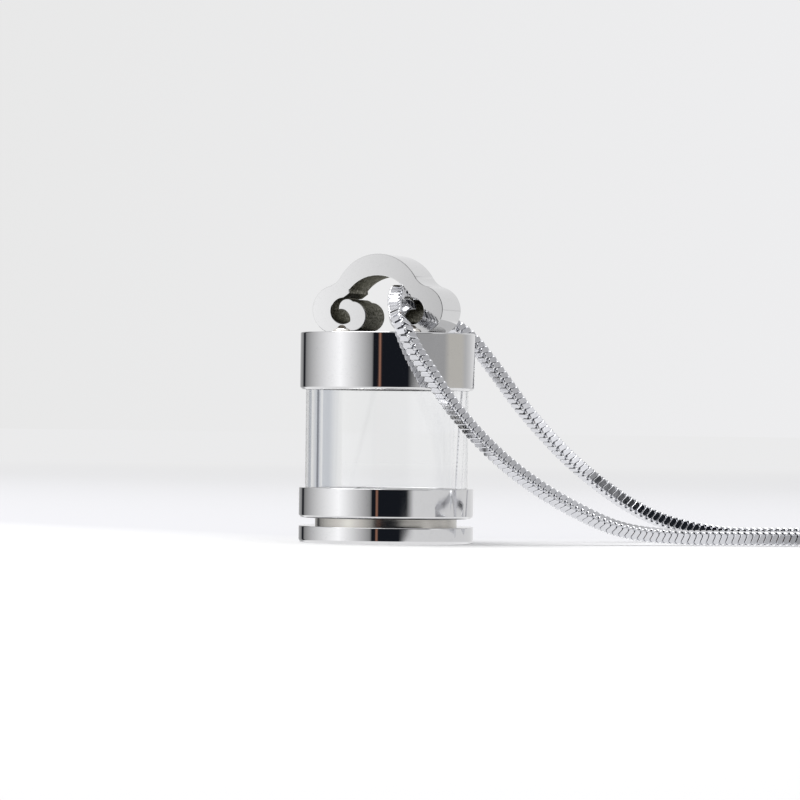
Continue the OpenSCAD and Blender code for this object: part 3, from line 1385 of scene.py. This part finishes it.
@dataclass
class BarrelClasp:
    """Screw barrel that joins the chain's ends."""

    middle: tuple[float, float, float] = (177 * MM, 9 * MM, 1.5 * MM)
    radius: float = 1.5 * MM
    length: float = 9.0 * MM
    bore_r: float = 0.85 * MM
    bore_depth: float = 2.5 * MM
    rim_round: float = 0.35 * MM
    bore_round: float = 0.08 * MM
    # Turned grooves, from and to along the barrel
    grooves: tuple[tuple[float, float], ...] = (
        (-3.5 * MM, -3.2 * MM), (-0.08 * MM, 0.08 * MM), (3.2 * MM, 3.5 * MM)
    )
    groove_depth: float = 0.12 * MM
    groove_slope: float = 0.06 * MM
    flutes: int = 32
    flute_from: float = 1.0 * MM
    flute_to: float = 2.5 * MM
    flute_inset: float = 0.05 * MM
    flute_depth: float = 0.04 * MM

    def build(self, finishes: Finishes) -> bpy.types.Object:
        """Turns the barrel, presses its grip flutes and lays it along Y.

        Args:
            finishes: the pendant's materials.

        Returns:
            The clasp.
        """
        half = self.length / 2
        floor_z = half - self.bore_depth
        deep_r = self.radius - self.groove_depth
        end = [(0.0, floor_z), (self.bore_r, floor_z), (self.bore_r, half), (self.radius, half)]
        outline = [(radius, -z) for radius, z in end]
        for low, high in self.grooves:
            outline += [
                (self.radius, low), (deep_r, low + self.groove_slope),
                (deep_r, high - self.groove_slope), (self.radius, high),
            ]
        shape = Shape()
        shape.turn(outline + end[::-1], self.flutes, closed=False)
        shape.round_rings([(self.radius, -half), (self.radius, half)], self.rim_round, 4)
        shape.round_rings([(self.bore_r, -half), (self.bore_r, half)], self.bore_round, 2)
        bmesh.ops.recalc_face_normals(shape.bm, faces=shape.bm.faces[:])
        grip = [
            face for face in shape.bm.faces
            if self.flute_from < abs(face.calc_center_median().z) < self.flute_to
            and face.calc_center_median().to_2d().length > deep_r
        ]
        bmesh.ops.inset_individual(
            shape.bm, faces=grip, thickness=self.flute_inset, depth=-self.flute_depth
        )
        shape.place(Matrix.Translation(self.middle) @ Matrix.Rotation(math.radians(90), 4, "X"))
        return shape.piece("barrel_clasp_turned", [finishes.clasp])


# Table, light and camera


@dataclass
class Studio:
    """Pale table, soft light and the camera."""

    # The camera; the focal length and the aim are in the photograph's pixels
    focal_px: float = 4578.0
    frame_px: float = 800.0
    sensor: float = 36.0
    eye: tuple[float, float, float] = (0.0, -0.42, 0.0111)
    aim_px: tuple[float, float] = (12.8, 21.55)
    roll: float = 0.0115
    nearest: float = 0.01
    farthest: float = 50.0
    # The soft lamp
    lamp_place: tuple[float, float, float] = (-0.25, 0.15, 0.9)
    lamp_aim: tuple[float, float, float] = (0.03, 0.0, 0.0)
    lamp_side: float = 0.7
    lamp_watts: float = 6.0
    # The table: a white sheet whose edge slants on the left and is straight on the right; behind it
    # the table is greyer, and it darkens further back as painted fall-off of light
    table_size: float = 4.0
    grey_slope: float = -1.45
    grey_left: float = -0.0095
    grey_right: float = 0.0045
    grey_fade: tuple[float, float] = (-0.02, 0.38)
    sheet_and_painted_falloff_tones: tuple[tuple[float, Colour], ...] = (
        (0.0, (0.80, 0.80, 0.80)), (0.1, (0.66, 0.66, 0.68)), (1.0, (0.61, 0.61, 0.62))
    )
    far_fade: tuple[float, float] = (0.2, 0.8)
    far_tone: Colour = (0.83, 0.83, 0.835)
    # The backdrop, from left to right
    backdrop_span: tuple[float, float] = (-0.09, 0.09)
    backdrop_tones: tuple[tuple[float, Colour], ...] = (
        (0.0, (0.81, 0.81, 0.81)), (1.0, (0.85, 0.85, 0.86))
    )
    # Each ring goes round the urn in degrees, 0 at the front and minus on the left
    # Left: a black flag behind, then one soft box that fades to both sides
    left: Ring = (
        (-180, 0.85), (-165, 0.45), (-150, 0.3), (-146, BLACK), (-141, BLACK), (-137, 0.3),
        (-65, 1.45), (-20, 0.35),
    )
    # Right and low: a black flag in front with a warm slit in it, then a white card
    low_right: Ring = (
        (-20, 0.35), (-19, BLACK), (-14, BLACK), (-12, WARM), (-10, BLACK), (27, BLACK),
        (37, 0.9), (180, 0.85),
    )
    # Right and level: the same flag, then a grey card and a cream one
    cap_right: Ring = (
        (-20, 0.35), (-19, BLACK), (-12, BLACK), (-10, WARM), (-8, BLACK), (27, BLACK),
        (40, 0.45), (80, 0.45), (90, CREAM), (115, CREAM), (125, 0.6), (150, 0.85), (180, 0.85),
    )
    # Right and higher: a wide black flag, then a narrow soft box
    upper_right: Ring = (
        (-20, 0.35), (-18, BLACK), (60, BLACK), (63, 1.2), (77, 1.2), (85, 0.6), (105, 0.6),
        (130, 0.85), (180, 0.85),
    )
    # High up all round: a pale left side, a dimmer front and back
    high: Ring = (
        (-180, 0.45), (-165, 0.8), (-90, 1.0), (-40, 0.8), (-10, 0.3), (20, 0.3), (60, 0.55),
        (150, 0.65), (168, 0.45), (180, 0.45),
    )
    # How far up or down a direction points where one ring gives way to the next
    low_band: tuple[float, float] = (0.023, 0.0266)
    cap_band: tuple[float, float] = (0.0055, 0.0065)
    upper_band: tuple[float, float] = (0.022, 0.04)
    high_band: tuple[float, float] = (0.42, 0.5)
    ceiling_band: tuple[float, float] = (0.62, 0.75)
    zenith_band: tuple[float, float] = (0.84, 0.93)
    under_band: tuple[float, float] = (0.24, 0.34)
    ceiling: Colour = (0.85, 0.85, 0.87)
    zenith: Colour = (1.2, 1.2, 1.2)
    under: Colour = (1.08, 1.08, 1.09)
    # How far the low ring turns where the disc mirrors it, and where the left ring ends, in degrees
    low_slide: float = 10.0
    left_end: float = -21.0
    # How much bluer than red a plain brightness of a ring is
    coolness: float = 1.01
    # The curved screen that only the glass's edge shows
    screen_r: float = 0.25
    screen_span: tuple[float, float] = (-95.0, -172.0)
    screen_levels: tuple[float, float] = (-0.002, 0.09)
    screen_steps: int = 24
    screen_grey: Colour = (0.48, 0.5, 0.54)
    screen_dark: Colour = (0.14, 0.15, 0.18)
    screen_pale: Colour = (0.78, 0.78, 0.78)

    def camera(self) -> None:
        """Sets the camera at the photograph's angle."""
        data = bpy.data.cameras.new("studio_camera")
        data.sensor_width = self.sensor
        data.lens = self.focal_px * self.sensor / self.frame_px
        data.clip_start = self.nearest
        data.clip_end = self.farthest
        made = add_object("studio_camera", data)
        across, above = self.aim_px
        gaze = Vector((across, self.focal_px, above)).normalized()
        facing = gaze.to_track_quat("-Z", "Y") @ Quaternion((0, 0, 1), self.roll)
        made.matrix_world = Matrix.Translation(self.eye) @ facing.to_matrix().to_4x4()
        bpy.context.scene.camera = made
        bpy.context.scene.view_settings.view_transform = "Standard"

    def table(self) -> None:
        """Lays the table: a white sheet at the front, greyer behind its edge, and darker further back
        as painted fall-off of light.
        """
        shape = Shape()
        bmesh.ops.create_grid(shape.bm, x_segments=2, y_segments=2, size=self.table_size)
        made, kit, shader = new_material("table_top", Roughness=0.9, Specular_IOR_Level=0.0)
        where = kit.coords()
        x, y, _ = kit.split(where)
        slanted = kit.maths("ADD", kit.maths("MULTIPLY", x, self.grey_slope), self.grey_left)
        behind = kit.maths("SUBTRACT", y, kit.maths("MAXIMUM", slanted, self.grey_right))
        # Painted fall-off of light: past the sheet's edge the table's colour darkens with distance
        # from the urn
        shade = kit.ramp(kit.fade(behind, *self.grey_fade, smooth=False), self.sheet_and_painted_falloff_tones)
        kit.link(shade, shader.inputs["Base Color"])
        distance = kit.add("ShaderNodeVectorMath", operation="LENGTH")
        kit.link(where, distance.inputs[0])
        far = kit.fade(distance.outputs["Value"], *self.far_fade)
        glow = kit.add("ShaderNodeEmission", in_Strength=1.0, in_Color=(*self.far_tone, 1.0))
        kit.surface("Material Output", far, shader.outputs["BSDF"], glow.outputs["Emission"])
        top = shape.piece("table", [made], weighted=False)
        top.visible_glossy = False

    def world(self) -> None:
        """Sets the pale surroundings, and the soft boxes and dark flags that steel reflects."""
        world = bpy.data.worlds.new("studio_surroundings")
        bpy.context.scene.world = world
        world.use_nodes = True
        kit = NodeKit(world.node_tree)
        x, y, rise = kit.split(kit.coords("Generated"))
        plain = world.node_tree.nodes["Background"]
        across = kit.fade(x, *self.backdrop_span, smooth=False)
        kit.link(kit.ramp(across, self.backdrop_tones), plain.inputs["Color"])
        turn = kit.azimuth(x, y)
        place = kit.maths("DIVIDE", kit.maths("ADD", turn, math.pi), math.tau)
        drop = kit.maths("MULTIPLY", rise, -1.0)
        on_right = kit.maths("GREATER_THAN", turn, 0.0)
        slide = kit.maths("MULTIPLY", kit.fade(drop, *self.low_band), on_right)
        slid = kit.maths("ADD", place, kit.maths("MULTIPLY", slide, self.low_slide / 360))
        low = kit.ramp(slid, self._stops(self.low_right))
        level, upper, left, high = (
            kit.ramp(place, self._stops(ring))
            for ring in (self.cap_right, self.upper_right, self.left, self.high)
        )
        right = kit.blend(kit.fade(rise, *self.cap_band), low, level)
        right = kit.blend(kit.fade(rise, *self.upper_band), right, upper)
        past_left = kit.maths("GREATER_THAN", turn, math.radians(self.left_end))
        around = kit.blend(past_left, left, right)
        for way, band, tone in (
            (rise, self.high_band, high),
            (rise, self.ceiling_band, self.ceiling),
            (rise, self.zenith_band, self.zenith),
            (drop, self.under_band, self.under),
        ):
            around = kit.blend(kit.fade(way, *band), around, tone)
        seen = kit.add("ShaderNodeBackground")
        kit.link(around, seen.inputs["Color"])
        path = kit.add("ShaderNodeLightPath").outputs
        through = kit.maths("SUBTRACT", 1.0, path["Is Transmission Ray"])
        gloss = kit.maths("MULTIPLY", path["Is Glossy Ray"], through)
        backgrounds = (plain.outputs["Background"], seen.outputs["Background"])
        kit.surface("World Output", gloss, *backgrounds)

    def _stops(self, ring: Ring) -> list[tuple[float, Colour]]:
        """Turns a ring into a ramp's stops.

        Args:
            ring: degrees with a brightness or a colour.

        Returns:
            Places from 0 to 1 with their colours.
        """
        stops = []
        for angle, tone in ring:
            colour = tone if isinstance(tone, tuple) else (tone, tone, tone * self.coolness)
            stops.append(((angle + 180) / 360, colour))
        return stops

    def side_screen(self) -> None:
        """Stands a curved screen behind on the left, which only the glass's edge shows."""
        near, far = (math.radians(angle) for angle in self.screen_span)
        shape = Shape()
        ends = [shape.bm.verts.new((0.0, -self.screen_r, level)) for level in self.screen_levels]
        line = shape.bm.edges.new(ends)
        bmesh.ops.rotate(
            shape.bm, verts=ends, cent=(0, 0, 0), matrix=Matrix.Rotation(near, 3, "Z")
        )
        bmesh.ops.spin(
            shape.bm, geom=[*ends, line], cent=(0, 0, 0), axis=(0, 0, 1), dvec=(0, 0, 0),
            angle=far - near, steps=self.screen_steps,
        )
        made, kit, shader = new_material("side_screen")
        kit.tree.nodes.remove(shader)
        x, y, _ = kit.split(kit.coords())
        place = kit.fade(kit.azimuth(x, y), near, far, smooth=False)
        grey, dark, pale = self.screen_grey, self.screen_dark, self.screen_pale
        shade = kit.ramp(place, [
            (0.0, grey), (0.42, grey), (0.45, dark), (0.5, dark), (0.52, grey), (0.7, pale),
            (0.76, pale), (0.78, grey), (0.9, grey), (1.0, pale),
        ])
        glow = kit.add("ShaderNodeEmission")
        kit.link(shade, glow.inputs["Color"])
        kit.link(glow.outputs["Emission"], kit.tree.nodes["Material Output"].inputs["Surface"])
        screen = shape.piece("side_screen", [made], weighted=False)
        for kind in ("camera", "diffuse", "glossy", "shadow", "volume_scatter"):
            setattr(screen, "visible_" + kind, False)

    def lamp(self) -> None:
        """Hangs the soft lamp so that it faces the urn."""
        data = bpy.data.lights.new("top_soft_box", "AREA")
        data.shape = "SQUARE"
        data.size = self.lamp_side
        data.energy = self.lamp_watts
        made = add_object("top_soft_box", data)
        gaze = (Vector(self.lamp_aim) - Vector(self.lamp_place)).normalized()
        facing = gaze.to_track_quat("-Z", "Y").to_matrix().to_4x4()
        made.matrix_world = Matrix.Translation(self.lamp_place) @ facing
        made.visible_camera = False

    def build(self) -> None:
        """Sets up the whole studio."""
        self.camera()
        self.table()
        self.world()
        self.side_screen()
        self.lamp()


def main() -> None:
    """Builds the studio and every piece of the pendant."""
    logging.basicConfig(level=logging.INFO, format="%(message)s")
    Studio().build()
    finishes = Finishes(Effects())
    sizes = UrnSizes()
    thread = Thread()
    bail = CloudBail(sizes)
    mount(UrnCap(sizes).build(finishes), "urn", "bail_cap")
    mount(bail.build(finishes), "urn", "bail_cap")
    mount(SolderBeads(bail).build(finishes), "urn", "bail_cap")
    mount(GlassTube(sizes).build(finishes), "urn", "glass_tube")
    mount(Collar(sizes, thread).build(finishes), "urn", "bottom_collar")
    mount(ScrewPlug(sizes, thread).build(finishes), "plug", "screw_plug")
    route = ChainRoute()
    route.trace()
    for piece in SnakeChain(route).build(finishes):
        mount(piece, "urn", "snake_chain")
    mount(BarrelClasp().build(finishes), "urn", "barrel_clasp")


if __name__ == "__main__":
    main()
